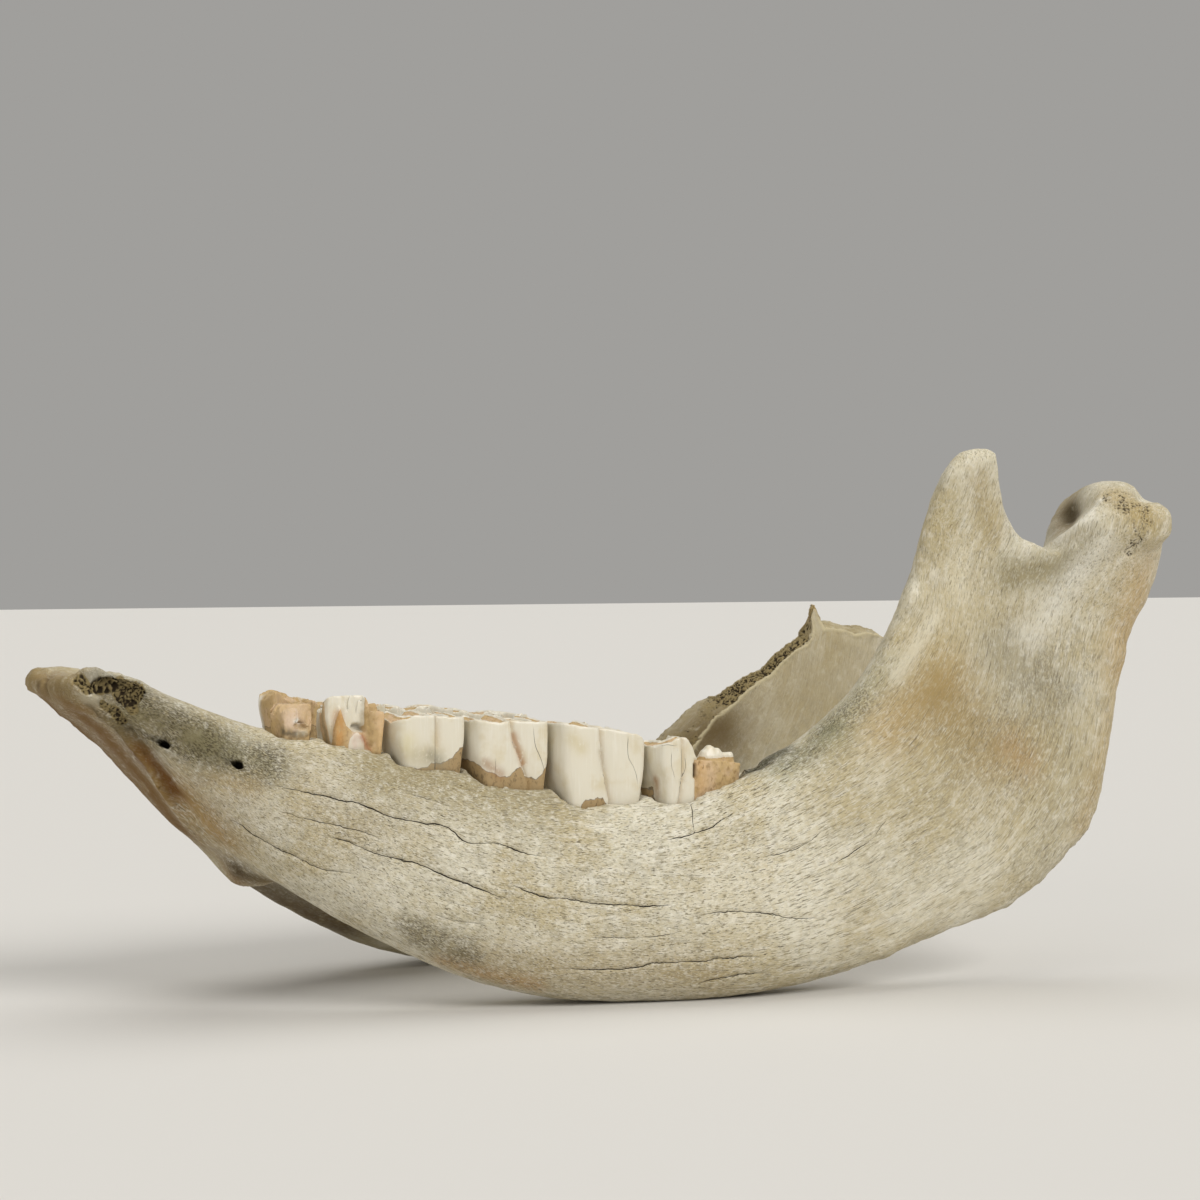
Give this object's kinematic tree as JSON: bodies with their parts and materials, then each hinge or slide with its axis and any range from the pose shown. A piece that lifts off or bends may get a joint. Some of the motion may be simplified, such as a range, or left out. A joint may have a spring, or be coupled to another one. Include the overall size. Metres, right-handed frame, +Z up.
{
  "type": "fossil woolly rhinoceros lower jaw",
  "caption": "Fossil lower jaw of a woolly rhinoceros with worn cheek teeth, a long fused chin, one whole upright branch and one broken branch.",
  "frame": {"origin": "middle of the part's box, on the surface that the jaw rests on", "axes": "+X runs from the chin to the jaw joint, -Y is the animal's left, +Z is up"},
  "size_m": [0.5248, 0.2454, 0.2502],
  "materials": {
    "bone": "weathered fossil bone, dry and matte, with fine grain along the jaw",
    "tooth": "cream enamel over tan dentine, satin"
  },
  "bodies": {
    "root": {"mandible": "bone", "left_p2": "tooth", "left_p3": "tooth", "left_p4": "tooth", "left_m1": "tooth", "left_m2": "tooth", "left_m3": "tooth", "right_p3": "tooth", "right_p4": "tooth", "right_m1": "tooth", "right_m2": "tooth", "right_m3": "tooth"}
  },
  "joints": []
}
